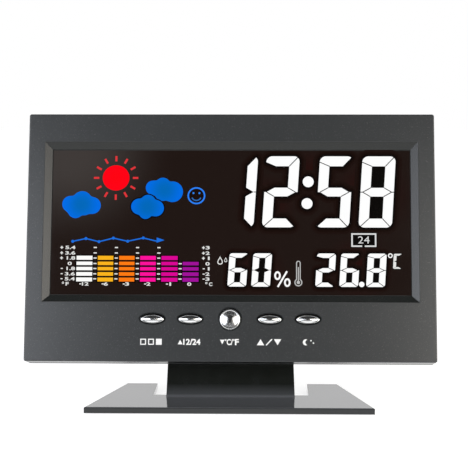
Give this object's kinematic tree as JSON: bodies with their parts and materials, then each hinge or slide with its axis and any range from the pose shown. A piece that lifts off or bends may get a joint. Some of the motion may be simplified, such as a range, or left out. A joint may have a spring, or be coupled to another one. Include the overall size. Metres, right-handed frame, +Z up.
{
  "type": "desk weather clock",
  "caption": "Slim, wide display case that leans back on a low notched stand: dark screen in a bevelled recess, a row of chrome press buttons below it, battery door behind.",
  "frame": {"origin": "on the table, at the middle of the whole clock's box seen from above", "axes": "+Z up, +X to the right of someone who reads the screen, -Y out of the screen"},
  "size_m": [0.17, 0.056, 0.1205],
  "materials": {
    "case_plastic": "dark grey, very fine sparkle, satin",
    "back_plastic": "dark grey, fine moulded texture",
    "stand_plastic": "dark grey, smooth and reflective",
    "lens": "smoked clear plastic, polished",
    "display_glass": "negative liquid crystal, nearly black",
    "film": "printed colour areas",
    "guide": "clear plate with dots on its back",
    "white_plastic": "white",
    "black_plastic": "black",
    "elastomer": "layered silicone",
    "board": "green lacquered laminate",
    "resin": "black epoxy drop",
    "crystal_can": "tinned can",
    "chrome_cap": "bright chrome plating on plastic",
    "cell": "plain dark sleeve, copper-coloured at the plus end",
    "spring_steel": "nickel plated",
    "screw_steel": "zinc plated",
    "lead_sleeve": "thin insulated wire",
    "foot_rubber": "soft, black"
  },
  "bodies": {
    "stand_body": {"stand": "stand_plastic", "stand_feet": "foot_rubber"},
    "case_body": {"front_bezel": "case_plastic", "rear_cover": "back_plastic", "screen_lens": "lens", "lcd_glass": "display_glass", "colour_film": "film", "light_guide": "guide", "backlight_leds": "white_plastic", "lcd_holder": "white_plastic", "zebra_strip_lower": "elastomer", "zebra_strip_upper": "elastomer", "main_board": "board", "controller_blob": "resin", "clock_crystal": "crystal_can", "tact_switches": "black_plastic", "sensor": "black_plastic", "buzzer": "black_plastic", "dc_jack": "black_plastic", "jack_pin": "spring_steel", "battery_1": "cell", "battery_2": "cell", "battery_3": "cell", "battery_contact_minus": "spring_steel", "battery_contact_plus": "spring_steel", "battery_link_left": "spring_steel", "battery_link_right": "spring_steel", "battery_leads": "lead_sleeve", "jack_leads": "lead_sleeve", "buzzer_leads": "lead_sleeve", "case_screws": "screw_steel", "board_screws": "screw_steel"},
    "door_body": {"battery_door": "back_plastic"},
    "outer_left_button_body": {"button_outer_left": "chrome_cap", "switch_plunger_outer_left": "white_plastic"},
    "inner_left_button_body": {"button_inner_left": "chrome_cap", "switch_plunger_inner_left": "white_plastic"},
    "centre_button_body": {"button_centre": "chrome_cap", "switch_plunger_centre": "white_plastic"},
    "inner_right_button_body": {"button_inner_right": "chrome_cap", "switch_plunger_inner_right": "white_plastic"},
    "outer_right_button_body": {"button_outer_right": "chrome_cap", "switch_plunger_outer_right": "white_plastic"}
  },
  "joints": [
    {"name": "case_lift", "type": "slide", "parent": "stand_body", "child": "case_body", "axis": [0, 0.2436, 0.9699], "range_m": [0, 0.026]},
    {"name": "door_slide", "type": "slide", "parent": "case_body", "child": "door_body", "axis": [0, 0.2436, 0.9699], "range_m": [0, 0.04]},
    {"name": "outer_left_press", "type": "slide", "parent": "case_body", "child": "outer_left_button_body", "axis": [0, 0.9699, -0.2436], "range_m": [0, 0.0005], "stiffness_N_per_m": 4000, "springref_m": -0.0001},
    {"name": "inner_left_press", "type": "slide", "parent": "case_body", "child": "inner_left_button_body", "axis": [0, 0.9699, -0.2436], "range_m": [0, 0.0005], "stiffness_N_per_m": 4000, "springref_m": -0.0001},
    {"name": "centre_press", "type": "slide", "parent": "case_body", "child": "centre_button_body", "axis": [0, 0.9699, -0.2436], "range_m": [0, 0.0005], "stiffness_N_per_m": 4000, "springref_m": -0.0001},
    {"name": "inner_right_press", "type": "slide", "parent": "case_body", "child": "inner_right_button_body", "axis": [0, 0.9699, -0.2436], "range_m": [0, 0.0005], "stiffness_N_per_m": 4000, "springref_m": -0.0001},
    {"name": "outer_right_press", "type": "slide", "parent": "case_body", "child": "outer_right_button_body", "axis": [0, 0.9699, -0.2436], "range_m": [0, 0.0005], "stiffness_N_per_m": 4000, "springref_m": -0.0001}
  ]
}
